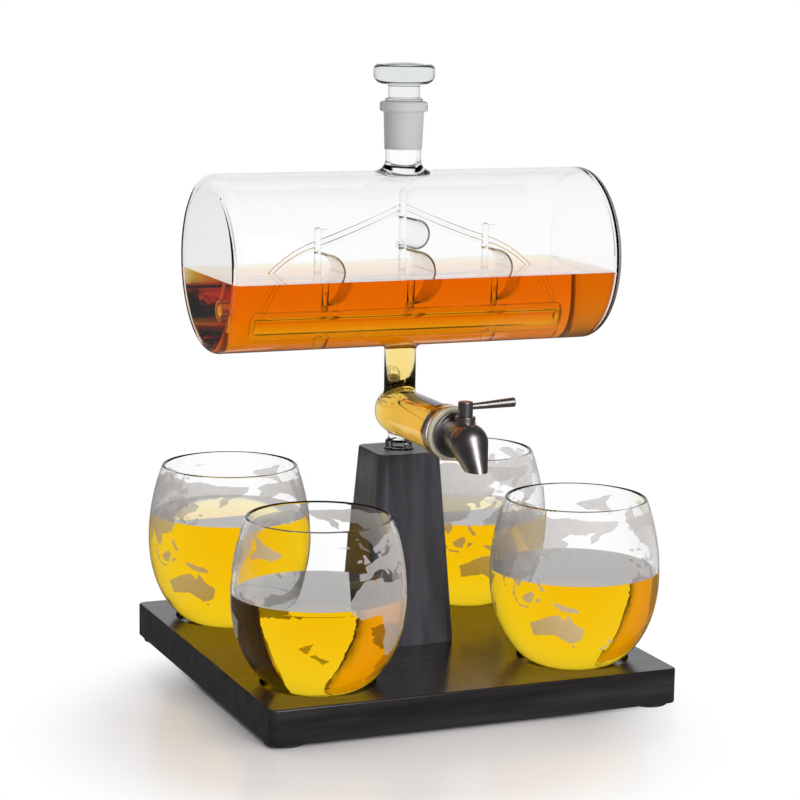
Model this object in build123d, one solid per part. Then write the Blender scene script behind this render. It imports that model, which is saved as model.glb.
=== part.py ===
"""Drink dispenser: a glass barrel decanter with a ship inside, its tap, and four globe glasses on a stand.

Millimetres. +Z is up, +X runs along the barrel and -Y is the side that the tap points to.
The origin is on the floor, under the middle of the tray.
"""

from build123d import *
import math
import os

# Stand: a square tray on rubber feet, with a tapered post in its middle
TRAY_SIDE = 220.0
TRAY_THICKNESS = 18.2
TRAY_CORNER_RADIUS = 4.0
TRAY_EDGE_ROUND = 1.0
FOOT_RADIUS = 10.0
FOOT_HEIGHT = 1.5
FOOT_EDGE_ROUND = 0.4
FOOT_INSET = 11.0
POST_FOOT_SIDE = 48.0
POST_HEAD_SIDE = 34.6
POST_HEIGHT = 100.8
POST_CORNER_RADIUS = 5.0
POST_EDGE_ROUND = 0.8

# Screws that hold the post, driven up from under the tray
SCREW_PITCH = 22.0
SCREW_RADIUS = 2.0
SCREW_LENGTH = 38.0
SCREW_HEAD_RADIUS = 4.2
SCREW_HEAD_HEIGHT = 2.6
SCREW_TIP_RADIUS = 0.4
SCREW_TIP_LENGTH = 5.0
SCREW_SINK_DEPTH = 1.5
SCREW_SLOT_WIDTH = 1.0
SCREW_SLOT_LENGTH = 4.4
SCREW_SLOT_DEPTH = 1.6
SCREW_CLEARANCE = 0.1

# Globe glasses and the recesses that they stand in
GLASS_PITCH_X = 140.8
GLASS_PITCH_Y = 137.0
GLASS_HEIGHT = 87.4
GLASS_BELLY_RADIUS = 43.7
GLASS_BELLY_HEIGHT = 47.0
GLASS_RIM_RADIUS = 36.4
GLASS_FOOT_RADIUS = 14.0
GLASS_WALL = 1.7
GLASS_BOTTOM = 3.2
RECESS_DEPTH = 3.4
RECESS_CLEARANCE = 4.0

# Barrel of the decanter, lying along X
BARREL_RADIUS = 45.4
BARREL_LENGTH = 213.0
BARREL_WALL = 2.4
BARREL_END_WALL = 2.8
BARREL_SHOULDER = 5.0
BARREL_INNER_SHOULDER = 4.0
BARREL_RISE = 80.5

# Neck with its ground joint, on top of the barrel
NECK_RADIUS = 9.2
NECK_HEIGHT = 11.0
NECK_FLARE = 6.0
JOINT_LENGTH = 19.3
JOINT_FOOT_RADIUS = 9.7
JOINT_HEAD_RADIUS = 10.4
LIP_RADIUS = 12.4
LIP_HEIGHT = 5.2
LIP_ROUND = 1.4
SOCKET_FOOT_RADIUS = 7.2
SOCKET_HEAD_RADIUS = 8.5

# Stopper, ground to fit the joint
PLUG_CLEARANCE = 0.1
PLUG_END_ROUND = 0.8
COLLAR_RADIUS = 9.7
COLLAR_HEIGHT = 1.6
COLLAR_ROUND = 0.5
GRIP_NECK_RADIUS = 8.2
GRIP_NECK_HEIGHT = 7.2
GRIP_NECK_FILLET = 1.2
GRIP_RADIUS = 15.9
GRIP_THICKNESS = 9.8
GRIP_DOME = 1.2
GRIP_FOOT_ROUND = 5.2
GRIP_HEAD_ROUND = 3.0

# Drain: a stem under the barrel, an arm that points to the front, and the peg that stands in the post
STEM_RADIUS = 8.25
STEM_WALL = 1.8
STEM_FLARE = 3.0
STEM_BORE_FLARE = 3.2
ARM_RISE = 20.0
ARM_RADIUS = 12.2
ARM_WALL = 2.2
ARM_BACK = 2.0
ARM_REACH = 68.0
ARM_FILLET = 3.5
MOUTH_RADIUS = 13.6
MOUTH_LENGTH = 10.0
MOUTH_ROUND = 1.2
BORE_ROUND = 1.2
PEG_RADIUS = 5.4
PEG_LENGTH = 24.0
PEG_BORE = 3.4
PEG_ROUND = 1.2
PEG_CLEARANCE = 0.3
PEG_END_GAP = 2.0
PEG_NECK_RADIUS = 5.8
PEG_NECK_FILLET = 2.0
BEAD_RADIUS = 7.2
BEAD_HEIGHT = 4.2
BEAD_ROUND = 1.6
PAD_RADIUS = 7.8
PAD_THICKNESS = 1.0

# How far outside the flares the pieces of the decanter's glass were melted together
SEAM_MARGIN = 1.5

# Tap: what seals and clamps it in the mouth of the arm
SEAL_THICKNESS = 3.0
SEAL_ROUND = 1.2
SPIGOT_RADIUS = 9.4
SPIGOT_LENGTH = 3.0
BUNG_LENGTH = 5.4
BUNG_CLEARANCE = 0.1
WASHER_RADIUS = 9.0
WASHER_THICKNESS = 0.8
NUT_ACROSS_FLATS = 14.0
NUT_THICKNESS = 3.2
SHANK_RADIUS = 5.0
SHANK_BORE = 2.6
SHANK_STICKOUT = 0.8
SHANK_CLEARANCE = 0.1

# Tap: the metal body with its spout
FLANGE_RADIUS = 11.6
FLANGE_THICKNESS = 2.0
FLANGE_ROUND = 0.6
STEP_RADIUS = 9.3
STEP_THICKNESS = 1.0
TAP_BARREL_RADIUS = 8.2
BULB_REACH = 21.5
BULB_DROP = 0.8
BULB_RADIUS = 9.5
SPOUT_ADVANCE = 10.4
SPOUT_DROP = 13.6
SPOUT_RADIUS = 5.2
SPOUT_BORE = 3.4
VALVE_REACH = 16.5
VALVE_RADIUS = 3.6
VALVE_CLEARANCE = 0.05
VALVE_DEPTH = 5.0
TAP_NECK_RADIUS = 4.9
TAP_NECK_RISE = 9.8
BONNET_RADIUS = 5.1
BONNET_THICKNESS = 1.6
BONNET_ROUND = 0.4

# Tap: the turning plug and its lever
PORT_RADIUS = 2.0
PIN_RADIUS = 2.0
PIN_ENTRY = 4.5
RING_SECTION_RADIUS = 0.5
RING_CLEARANCE = 0.05
RING_SPACING = 6.4
HUB_RADIUS = 3.7
HUB_HEIGHT = 7.2
HUB_GAP = 0.3
HUB_ROUND = 0.6
LEVER_REACH = 26.5
LEVER_ENTRY = 1.4
LEVER_ROOT_RADIUS = 1.5
LEVER_TIP_RADIUS = 2.4
LEVER_TIP_ROUND = 0.4
LEVER_LIFT_ANGLE = 2.5
LEVER_HEIGHT = 4.4
SET_SCREW_RADIUS = 1.0

# Ship of clear glass: a sealed tube for a hull, standing on two legs inside the barrel
HULL_LENGTH = 174.0
HULL_RADIUS = 5.6
HULL_WALL = 2.0
HULL_END_ROUND = 3.6
HULL_CLEARANCE = 13.5
LEG_FOOT_RADIUS = 4.6
LEG_WAIST_RADIUS = 3.4
LEG_HEAD_RADIUS = 5.2
MAST_PITCH = 47.0
MAIN_MAST_RADIUS = 2.0
MAIN_MAST_HEIGHT = 53.6
SIDE_MAST_RADIUS = 1.8
SIDE_MAST_HEIGHT = 35.4
PENNANT_LENGTH = 4.5
PENNANT_RADIUS = 0.9
SAIL_THICKNESS = 1.0
SAIL_LAP = 0.4
MAIN_TOP_SAIL_RADIUS = 7.8
MAIN_TOP_SAIL_WIDTH = 28.0
MAIN_TOP_SAIL_HEIGHT = 31.8
MAIN_LOW_SAIL_RADIUS = 11.2
MAIN_LOW_SAIL_WIDTH = 30.0
MAIN_LOW_SAIL_HEIGHT = 12.3
SIDE_SAIL_RADIUS = 10.5
SIDE_SAIL_WIDTH = 20.0
SIDE_SAIL_HEIGHT = 12.1
THREAD_RADIUS = 0.9
THREAD_SPACING = 3.0
THREAD_TOP_GAP = 7.5
THREAD_END_INSET = 4.0
THREAD_SAG = 0.8
THREAD_ARCH = 5.5

# One overrun serves all cuts
CUT = 1.0

# Heights closer together than this are the same level
SAME_LEVEL = 0.001

# Heights and places that follow from the sizes above
TRAY_TOP = FOOT_HEIGHT + TRAY_THICKNESS
POST_TOP = TRAY_TOP + POST_HEIGHT
PEG_SEAT = POST_TOP + PAD_THICKNESS
SOCKET_FLOOR = PEG_SEAT - PEG_LENGTH - PEG_END_GAP
ARM_AXIS = POST_TOP + ARM_RISE
BARREL_AXIS = ARM_AXIS + BARREL_RISE
BARREL_BORE = BARREL_RADIUS - BARREL_WALL
STEM_MIDDLE = (ARM_AXIS + ARM_RADIUS + BARREL_AXIS - BARREL_RADIUS) / 2
JOINT_FOOT = BARREL_AXIS + BARREL_RADIUS + NECK_HEIGHT
JOINT_HEAD = JOINT_FOOT + JOINT_LENGTH
LIP_TOP = JOINT_HEAD + LIP_HEIGHT
STEM_BORE = STEM_RADIUS - STEM_WALL
ARM_BORE = ARM_RADIUS - ARM_WALL
BARREL_FLOOR = BARREL_AXIS - BARREL_BORE
HULL_AXIS = BARREL_FLOOR + HULL_CLEARANCE + HULL_RADIUS
DECK = HULL_AXIS + HULL_RADIUS

# Distances along the arm, from the stem's axis to the front
SPIGOT_END = ARM_REACH - SPIGOT_LENGTH
BUNG_END = SPIGOT_END - BUNG_LENGTH
WASHER_END = BUNG_END - WASHER_THICKNESS
NUT_END = WASHER_END - NUT_THICKNESS
SHANK_END = NUT_END - SHANK_STICKOUT
FLANGE_BACK = ARM_REACH + SEAL_THICKNESS
FLANGE_FRONT = FLANGE_BACK + FLANGE_THICKNESS
BULB_PLACE = ARM_REACH + BULB_REACH
VALVE_PLACE = ARM_REACH + VALVE_REACH

# Heights above the arm's axis
BONNET_TOP = TAP_NECK_RISE + BONNET_THICKNESS
HUB_FOOT = BONNET_TOP + HUB_GAP
HUB_TOP = HUB_FOOT + HUB_HEIGHT
LEVER_RISE = HUB_FOOT + LEVER_HEIGHT

BOTTOM = (Align.CENTER, Align.CENTER, Align.MIN)
LEFT = -1
RIGHT = 1
CORNERS = {
    "front_left": (LEFT, -1),
    "front_right": (RIGHT, -1),
    "back_left": (LEFT, 1),
    "back_right": (RIGHT, 1),
}


def rod(radius, low, high):
    """Round bar along Z from one height to another."""
    return Pos(0, 0, low) * Cylinder(radius, high - low, align=BOTTOM)


def taper(low_radius, high_radius, low, high):
    """Round bar along Z whose radius changes evenly."""
    return Pos(0, 0, low) * Cone(low_radius, high_radius, high - low, align=BOTTOM)


def tube(radius, bore, low, high):
    """Round bar along Z with a hole through it."""
    return rod(radius, low, high) - rod(bore, low - CUT, high + CUT)


def rims(solid, *heights):
    """Circular edges of a solid that lie at the given heights."""
    circles = solid.edges().filter_by(GeomType.CIRCLE)
    return [edge for edge in circles if any(abs(edge.center().Z - height) < SAME_LEVEL for height in heights)]


def welds(solid, low, high):
    """Curves between two heights where round bodies run into each other."""
    curves = solid.edges().filter_by(GeomType.BSPLINE)
    return [edge for edge in curves if low < edge.center().Z < high]


def turned(*lines):
    """Solid of revolution about Z from the lines of its half section, given as radius and height."""
    return revolve(Plane.XZ * make_face(lines), Axis.Z)


def on_arm(shape):
    """Place a shape built with its X to the right, its Y up and its Z to the front on the arm's axis."""
    return Pos(0, 0, ARM_AXIS) * Rot(90, 0, 0) * shape


def upright_on_valve(shape):
    """Place an upright shape built about Z on the valve's axis, with height zero at the arm's axis."""
    return Pos(0, -VALVE_PLACE, ARM_AXIS) * shape


# Stand


def glass_radius(height):
    """Outer radius of a glass below its belly."""
    drop_share = (GLASS_BELLY_HEIGHT - height) / GLASS_BELLY_HEIGHT
    return GLASS_FOOT_RADIUS + (GLASS_BELLY_RADIUS - GLASS_FOOT_RADIUS) * math.sqrt(1 - drop_share**2)


def glass_places():
    """Middle of each glass, on the recess floor."""
    floor = TRAY_TOP - RECESS_DEPTH
    return {
        corner: Pos(side * GLASS_PITCH_X / 2, row * GLASS_PITCH_Y / 2, floor)
        for corner, (side, row) in CORNERS.items()
    }


def screw_places():
    """Axis of each screw, at the level of its head's underside."""
    level = FOOT_HEIGHT + SCREW_SINK_DEPTH
    return [Pos(side * SCREW_PITCH / 2, 0, level) for side in (LEFT, RIGHT)]


def tray():
    outline = RectangleRounded(TRAY_SIDE, TRAY_SIDE, TRAY_CORNER_RADIUS)
    slab = Pos(0, 0, FOOT_HEIGHT) * extrude(outline, TRAY_THICKNESS)
    edges = slab.edges().group_by(Axis.Z)
    slab = fillet(edges[0] + edges[-1], TRAY_EDGE_ROUND)
    recess = rod(glass_radius(RECESS_DEPTH) + RECESS_CLEARANCE, 0, RECESS_DEPTH + CUT)
    for place in glass_places().values():
        slab -= place * recess
    head = SCREW_HEAD_RADIUS + SCREW_CLEARANCE
    shaft = SCREW_RADIUS + SCREW_CLEARANCE
    hole = rod(head, -SCREW_SINK_DEPTH - CUT, 0)
    hole += taper(head, shaft, 0, SCREW_HEAD_HEIGHT)
    hole += rod(shaft, 0, TRAY_THICKNESS + CUT)
    for place in screw_places():
        slab -= place * hole
    return slab


def post():
    foot = Pos(0, 0, TRAY_TOP) * RectangleRounded(POST_FOOT_SIDE, POST_FOOT_SIDE, POST_CORNER_RADIUS)
    head = Pos(0, 0, POST_TOP) * RectangleRounded(POST_HEAD_SIDE, POST_HEAD_SIDE, POST_CORNER_RADIUS)
    block = loft([foot, head], ruled=True)
    block = fillet(block.edges().group_by(Axis.Z)[-1], POST_EDGE_ROUND)
    block -= rod(PEG_RADIUS + PEG_CLEARANCE, SOCKET_FLOOR, POST_TOP + CUT)
    pilot = rod(SCREW_RADIUS + SCREW_CLEARANCE, 0, SCREW_LENGTH + CUT)
    for place in screw_places():
        block -= place * pilot
    return block


def post_screws():
    screw = taper(SCREW_HEAD_RADIUS, SCREW_RADIUS, 0, SCREW_HEAD_HEIGHT)
    screw += rod(SCREW_RADIUS, 0, SCREW_LENGTH - SCREW_TIP_LENGTH)
    screw += taper(SCREW_RADIUS, SCREW_TIP_RADIUS, SCREW_LENGTH - SCREW_TIP_LENGTH, SCREW_LENGTH)
    slot = Pos(0, 0, -CUT) * Box(SCREW_SLOT_LENGTH, SCREW_SLOT_WIDTH, SCREW_SLOT_DEPTH + CUT, align=BOTTOM)
    screw -= slot
    screw -= Rot(0, 0, 90) * slot
    return Compound(children=[place * screw for place in screw_places()])


def foot(side, row):
    inset = TRAY_SIDE / 2 - FOOT_INSET
    disc = fillet(rims(rod(FOOT_RADIUS, 0, FOOT_HEIGHT), 0), FOOT_EDGE_ROUND)
    return Pos(side * inset, row * inset, 0) * disc


def pad():
    """Clear ring between the wooden post and the bead of the glass peg."""
    return tube(PAD_RADIUS, PEG_RADIUS + PEG_CLEARANCE, POST_TOP, PEG_SEAT)


# Glasses


def glass():
    """Globe tumbler standing on height zero: a quarter of an ellipse below the belly, an arc above it."""
    top = GLASS_HEIGHT - GLASS_WALL / 2
    rise = top - GLASS_BELLY_HEIGHT
    inset = GLASS_BELLY_RADIUS - GLASS_RIM_RADIUS
    sweep_radius = (rise**2 + inset**2) / (2 * inset)
    angle = math.degrees(math.asin(rise / sweep_radius))
    centre = (GLASS_BELLY_RADIUS - sweep_radius, GLASS_BELLY_HEIGHT)
    turn = (GLASS_FOOT_RADIUS, GLASS_BELLY_HEIGHT)
    reach = GLASS_BELLY_RADIUS - GLASS_FOOT_RADIUS
    outer_low = EllipticalCenterArc(turn, reach, GLASS_BELLY_HEIGHT, -90, arc_size=90)
    outer_high = CenterArc(centre, sweep_radius, 0, angle)
    depth = GLASS_BELLY_HEIGHT - GLASS_BOTTOM
    inner_low = EllipticalCenterArc(turn, reach - GLASS_WALL, depth, -90, arc_size=90)
    inner_high = CenterArc(centre, sweep_radius - GLASS_WALL, 0, angle)
    crest = outer_high.tangent_at(1) * GLASS_WALL / 2 + (outer_high @ 1 + inner_high @ 1) / 2
    return turned(
        Line((0, 0), outer_low @ 0),
        outer_low,
        outer_high,
        ThreePointArc(outer_high @ 1, crest, inner_high @ 1),
        inner_high,
        inner_low,
        Line(inner_low @ 0, (0, GLASS_BOTTOM)),
        Line((0, GLASS_BOTTOM), (0, 0)),
    )


# Decanter


def lying_bar(radius, length, shoulder, height):
    """Round bar along X at a height above the floor, with rounded ends."""
    bar = Cylinder(radius, length)
    bar = fillet(rims(bar, -length / 2, length / 2), shoulder)
    return Pos(0, 0, height) * Rot(0, 90, 0) * bar


def barrel_hollow():
    return lying_bar(BARREL_BORE, BARREL_LENGTH - 2 * BARREL_END_WALL, BARREL_INNER_SHOULDER, BARREL_AXIS)


def blunt_bar(radius, front):
    """Round bar along the arm whose back end is a half sphere."""
    bar = rod(radius, -ARM_BACK, front)
    bar += Pos(0, 0, -ARM_BACK) * Sphere(radius)
    return bar


def drain_outside():
    mouth = rod(MOUTH_RADIUS, ARM_REACH - MOUTH_LENGTH, ARM_REACH)
    mouth = fillet(rims(mouth, ARM_REACH - MOUTH_LENGTH, ARM_REACH), MOUTH_ROUND)
    drain = on_arm(blunt_bar(ARM_RADIUS, ARM_REACH))
    drain += rod(STEM_RADIUS, ARM_AXIS, BARREL_AXIS)
    drain = fillet(welds(drain, ARM_AXIS, STEM_MIDDLE), ARM_FILLET)
    drain += rod(PEG_NECK_RADIUS, PEG_SEAT, ARM_AXIS)
    drain = fillet(welds(drain, PEG_SEAT, ARM_AXIS - STEM_BORE), PEG_NECK_FILLET)
    bead = rod(BEAD_RADIUS, PEG_SEAT, PEG_SEAT + BEAD_HEIGHT)
    drain += fillet(rims(bead, PEG_SEAT + BEAD_HEIGHT), BEAD_ROUND)
    peg = rod(PEG_RADIUS, PEG_SEAT - PEG_LENGTH, PEG_SEAT)
    drain += fillet(rims(peg, PEG_SEAT - PEG_LENGTH), PEG_ROUND)
    return drain + on_arm(mouth)


def drain_hollow():
    hollow = on_arm(blunt_bar(ARM_BORE, ARM_REACH + CUT))
    hollow += rod(STEM_BORE, ARM_AXIS, BARREL_AXIS)
    return fillet(welds(hollow, ARM_AXIS, STEM_MIDDLE), BORE_ROUND)


def decanter():
    outside = lying_bar(BARREL_RADIUS, BARREL_LENGTH, BARREL_SHOULDER, BARREL_AXIS)
    outside += rod(NECK_RADIUS, BARREL_AXIS, JOINT_FOOT)
    outside = fillet(welds(outside, BARREL_AXIS, JOINT_FOOT), NECK_FLARE)
    outside += drain_outside()
    outside = fillet(welds(outside, STEM_MIDDLE, BARREL_AXIS), STEM_FLARE)
    outside += taper(JOINT_FOOT_RADIUS, JOINT_HEAD_RADIUS, JOINT_FOOT, JOINT_HEAD)
    lip = rod(LIP_RADIUS, JOINT_HEAD, LIP_TOP)
    outside += fillet(rims(lip, JOINT_HEAD, LIP_TOP), LIP_ROUND)

    inside = barrel_hollow()
    inside += rod(SOCKET_FOOT_RADIUS, BARREL_AXIS, JOINT_FOOT)
    inside = fillet(welds(inside, BARREL_AXIS, JOINT_FOOT), BORE_ROUND)
    inside += drain_hollow()
    inside = fillet(welds(inside, STEM_MIDDLE, BARREL_AXIS), STEM_BORE_FLARE)
    inside += taper(SOCKET_FOOT_RADIUS, SOCKET_HEAD_RADIUS, JOINT_FOOT, LIP_TOP)
    inside += rod(SOCKET_HEAD_RADIUS, LIP_TOP, LIP_TOP + CUT)
    peg_hollow = rod(PEG_BORE, PEG_SEAT - PEG_LENGTH - CUT, ARM_AXIS - ARM_RADIUS)
    return outside - inside - peg_hollow


def decanter_pieces():
    """The decanter's glass, parted at the seams where its four pieces were melted together."""
    glass = decanter()
    neck_zone = rod(NECK_RADIUS + NECK_FLARE + SEAM_MARGIN, BARREL_AXIS, LIP_TOP + CUT)
    stem_zone = rod(STEM_RADIUS + STEM_FLARE + SEAM_MARGIN, STEM_MIDDLE, BARREL_AXIS)
    arm_zone = rod(BARREL_LENGTH, 0, STEM_MIDDLE)
    return {
        "barrel": glass - neck_zone - stem_zone - arm_zone,
        "neck": glass & neck_zone,
        "stem": glass & stem_zone,
        "drain_arm": glass & arm_zone,
    }


def stopper():
    """Solid stopper: a ground plug, a collar that rests on the lip, a neck and a domed disc to hold."""
    plug_foot = SOCKET_FOOT_RADIUS - PLUG_CLEARANCE
    plug_head = SOCKET_HEAD_RADIUS - PLUG_CLEARANCE
    plug = taper(plug_foot, plug_head, JOINT_FOOT, LIP_TOP)
    plug = fillet(rims(plug, JOINT_FOOT), PLUG_END_ROUND)
    collar = rod(COLLAR_RADIUS, LIP_TOP, LIP_TOP + COLLAR_HEIGHT)
    collar = fillet(rims(collar, LIP_TOP + COLLAR_HEIGHT), COLLAR_ROUND)
    disc_foot = LIP_TOP + COLLAR_HEIGHT + GRIP_NECK_HEIGHT
    disc_head = disc_foot + GRIP_THICKNESS
    dome_radius = (GRIP_RADIUS**2 + GRIP_DOME**2) / (2 * GRIP_DOME)
    disc = rod(GRIP_RADIUS, disc_foot, disc_head + GRIP_DOME)
    disc &= Pos(0, 0, disc_head + GRIP_DOME - dome_radius) * Sphere(dome_radius)
    disc = fillet(rims(disc, disc_foot), GRIP_FOOT_ROUND)
    disc = fillet(rims(disc, disc_head), GRIP_HEAD_ROUND)
    grip = disc + rod(GRIP_NECK_RADIUS, LIP_TOP, disc_foot + GRIP_THICKNESS / 2)
    grip = fillet(rims(grip, disc_foot), GRIP_NECK_FILLET)
    return plug + collar + grip


# Ship


def hull_bar(inset):
    """Round bar of the hull's shape, smaller all round by an inset."""
    return lying_bar(HULL_RADIUS - inset, HULL_LENGTH - 2 * inset, HULL_END_ROUND - inset, HULL_AXIS)


def ship_hull():
    return hull_bar(0) - hull_bar(HULL_WALL)


def ship_legs():
    """Two waisted legs under the side masts, fitted to the barrel's floor and to the hull."""
    low = BARREL_FLOOR - CUT
    waist = (LEG_WAIST_RADIUS, (low + HULL_AXIS) / 2)
    leg = turned(
        Line((0, low), (LEG_FOOT_RADIUS, low)),
        ThreePointArc((LEG_FOOT_RADIUS, low), waist, (LEG_HEAD_RADIUS, HULL_AXIS)),
        Line((LEG_HEAD_RADIUS, HULL_AXIS), (0, HULL_AXIS)),
        Line((0, HULL_AXIS), (0, low)),
    )
    legs = [Pos(side * MAST_PITCH, 0, 0) * leg for side in (LEFT, RIGHT)]
    return Compound(children=[(leg & barrel_hollow()) - hull_bar(0) for leg in legs])


def mast(radius, height):
    """Mast with a rounded top and a short pennant that points along the ship."""
    top = DECK + height
    pole = rod(radius, HULL_AXIS, top - radius)
    pole += Pos(0, 0, top - radius) * Sphere(radius)
    pennant = rod(PENNANT_RADIUS, 0, PENNANT_LENGTH)
    pennant += Pos(0, 0, PENNANT_LENGTH) * Sphere(PENNANT_RADIUS)
    pole += Pos(0, 0, top - radius) * Rot(0, 90, 0) * pennant
    return pole


def ship_masts():
    side_mast = mast(SIDE_MAST_RADIUS, SIDE_MAST_HEIGHT)
    masts = {
        "ship_fore_mast": Pos(-MAST_PITCH, 0, 0) * side_mast,
        "ship_main_mast": mast(MAIN_MAST_RADIUS, MAIN_MAST_HEIGHT),
        "ship_mizzen_mast": Pos(MAST_PITCH, 0, 0) * side_mast,
    }
    return {name: pole - hull_bar(0) for name, pole in masts.items()}


def sail(radius, width):
    """Sheet bent to a half round that billows along +X, with its two straight edges over X zero."""
    pipe = tube(radius, radius - SAIL_THICKNESS, -width / 2, width / 2)
    front = Box(radius + CUT, 2 * radius, width, align=(Align.MIN, Align.CENTER, Align.CENTER))
    return Rot(90, 0, 0) * (pipe & front)


def ship_sails(masts):
    side_sail = (SIDE_SAIL_HEIGHT, SIDE_SAIL_RADIUS, SIDE_SAIL_WIDTH)
    low_sail = (MAIN_LOW_SAIL_HEIGHT, MAIN_LOW_SAIL_RADIUS, MAIN_LOW_SAIL_WIDTH)
    top_sail = (MAIN_TOP_SAIL_HEIGHT, MAIN_TOP_SAIL_RADIUS, MAIN_TOP_SAIL_WIDTH)
    hung = [
        ("ship_fore_mast", -MAST_PITCH + SIDE_MAST_RADIUS, side_sail),
        ("ship_main_mast", MAIN_MAST_RADIUS, low_sail),
        ("ship_main_mast", MAIN_MAST_RADIUS, top_sail),
        ("ship_mizzen_mast", MAST_PITCH + SIDE_MAST_RADIUS, side_sail),
    ]
    sails = []
    for name, mast_front, (height, radius, width) in hung:
        sheet = Pos(mast_front - SAIL_LAP, 0, DECK + height) * sail(radius, width)
        sails.append(sheet - masts[name])
    return Compound(children=sails)


def thread(start, end, sag):
    """Thin glass rod between two points over the ship's middle line, bent down by a sag."""
    middle = (start + end) / 2 - Vector(0, 0, sag)
    path = ThreePointArc(start, middle, end)
    return sweep(Plane(path @ 0, z_dir=path % 0) * Circle(THREAD_RADIUS), path)


def ship_rigging(masts):
    """Two strands from bow to stern over the three masts, each in four spans."""
    spans = []
    for strand in range(2):
        drop = THREAD_TOP_GAP + strand * THREAD_SPACING
        end = HULL_LENGTH / 2 - THREAD_END_INSET - strand * THREAD_SPACING
        head = Vector(0, 0, DECK + MAIN_MAST_HEIGHT - drop)
        for side in (LEFT, RIGHT):
            shoulder = Vector(side * MAST_PITCH, 0, DECK + SIDE_MAST_HEIGHT - drop)
            tie = Vector(side * end, 0, DECK - THREAD_RADIUS)
            spans.append(thread(shoulder, head, THREAD_SAG))
            spans.append(thread(tie, shoulder, -THREAD_ARCH))
    for part in [hull_bar(0), *masts.values()]:
        spans = [span - part for span in spans]
    return Compound(children=spans)


# Tap


def front_seal():
    ring = tube(MOUTH_RADIUS, SPIGOT_RADIUS + SHANK_CLEARANCE, ARM_REACH, FLANGE_BACK)
    outer = [edge for edge in rims(ring, ARM_REACH, FLANGE_BACK) if edge.radius > SPIGOT_RADIUS + SEAL_ROUND]
    return on_arm(fillet(outer, SEAL_ROUND))


def bung():
    return on_arm(tube(ARM_BORE - BUNG_CLEARANCE, SHANK_RADIUS + SHANK_CLEARANCE, BUNG_END, SPIGOT_END))


def shank_washer():
    return on_arm(tube(WASHER_RADIUS, SHANK_RADIUS + SHANK_CLEARANCE, WASHER_END, BUNG_END))


def shank_nut():
    hexagon = RegularPolygon(NUT_ACROSS_FLATS / 2, 6, major_radius=False)
    nut = Pos(0, 0, NUT_END) * extrude(hexagon, NUT_THICKNESS)
    nut -= rod(SHANK_RADIUS + SHANK_CLEARANCE, NUT_END - CUT, WASHER_END + CUT)
    return on_arm(nut)


def on_spout(shape):
    """Place a shape built along Z so that its Z runs from the bulb's middle to the spout's tip."""
    angle = math.degrees(math.atan2(SPOUT_DROP - BULB_DROP, SPOUT_ADVANCE))
    return Pos(0, -BULB_PLACE, ARM_AXIS - BULB_DROP) * Rot(90 + angle, 0, 0) * shape


def tap_body():
    run = math.hypot(SPOUT_DROP - BULB_DROP, SPOUT_ADVANCE)
    overrun = run + SPOUT_RADIUS
    slope = (BULB_RADIUS - SPOUT_RADIUS) / run
    lean = math.asin(slope)
    shoulder = (BULB_RADIUS * math.cos(lean), BULB_RADIUS * math.sin(lean))
    end_radius = (BULB_RADIUS - slope * overrun) / math.cos(lean)
    cap = ThreePointArc((0, -BULB_RADIUS), (BULB_RADIUS, 0), shoulder)
    drop = turned(
        cap,
        Line(shoulder, (end_radius, overrun)),
        Line((end_radius, overrun), (0, overrun)),
        Line((0, overrun), (0, -BULB_RADIUS)),
    )
    barrel = on_arm(rod(TAP_BARREL_RADIUS, FLANGE_BACK, BULB_PLACE))
    body = barrel + on_spout(drop)
    body += upright_on_valve(rod(TAP_NECK_RADIUS, 0, TAP_NECK_RISE))
    flange = rod(FLANGE_RADIUS, FLANGE_BACK, FLANGE_FRONT)
    body += on_arm(fillet(rims(flange, FLANGE_FRONT), FLANGE_ROUND))
    body += on_arm(rod(STEP_RADIUS, FLANGE_BACK, FLANGE_FRONT + STEP_THICKNESS))
    body += on_arm(rod(SPIGOT_RADIUS, SPIGOT_END, FLANGE_BACK))
    body += on_arm(rod(SHANK_RADIUS, SHANK_END, SPIGOT_END))
    body -= on_arm(rod(SHANK_BORE, SHANK_END - CUT, BULB_PLACE))
    body -= on_spout(rod(SPOUT_BORE, 0, overrun + CUT))
    body -= upright_on_valve(rod(VALVE_RADIUS + VALVE_CLEARANCE, -VALVE_DEPTH, TAP_NECK_RISE + CUT))
    below = Box(4 * BULB_RADIUS, 4 * BULB_RADIUS, overrun, align=(Align.CENTER, Align.CENTER, Align.MAX))
    return body - Pos(0, -BULB_PLACE - SPOUT_ADVANCE, ARM_AXIS - SPOUT_DROP) * below


def bonnet():
    ring = tube(BONNET_RADIUS, PIN_RADIUS + VALVE_CLEARANCE, TAP_NECK_RISE, BONNET_TOP)
    outer = [edge for edge in rims(ring, BONNET_TOP) if edge.radius > PIN_RADIUS + BONNET_ROUND]
    return upright_on_valve(fillet(outer, BONNET_ROUND))


def ring_heights():
    return [-RING_SPACING / 2 + RING_SECTION_RADIUS, RING_SPACING / 2 + RING_SECTION_RADIUS]


def valve_plug():
    """Turning plug: its port lies across the flow at rest, so the tap is shut."""
    plug = rod(VALVE_RADIUS, -VALVE_DEPTH, TAP_NECK_RISE - VALVE_CLEARANCE)
    plug += rod(PIN_RADIUS, 0, HUB_FOOT + PIN_ENTRY)
    plug -= Rot(0, 90, 0) * Cylinder(PORT_RADIUS, 2 * VALVE_RADIUS + 2 * CUT)
    half = RING_SECTION_RADIUS + RING_CLEARANCE
    for height in ring_heights():
        plug -= tube(VALVE_RADIUS + CUT, VALVE_RADIUS - 2 * half, height - half, height + half)
    return upright_on_valve(plug)


def valve_rings():
    ring = Torus(VALVE_RADIUS - RING_SECTION_RADIUS - RING_CLEARANCE, RING_SECTION_RADIUS)
    return Compound(children=[upright_on_valve(Pos(0, 0, height) * ring) for height in ring_heights()])


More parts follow.
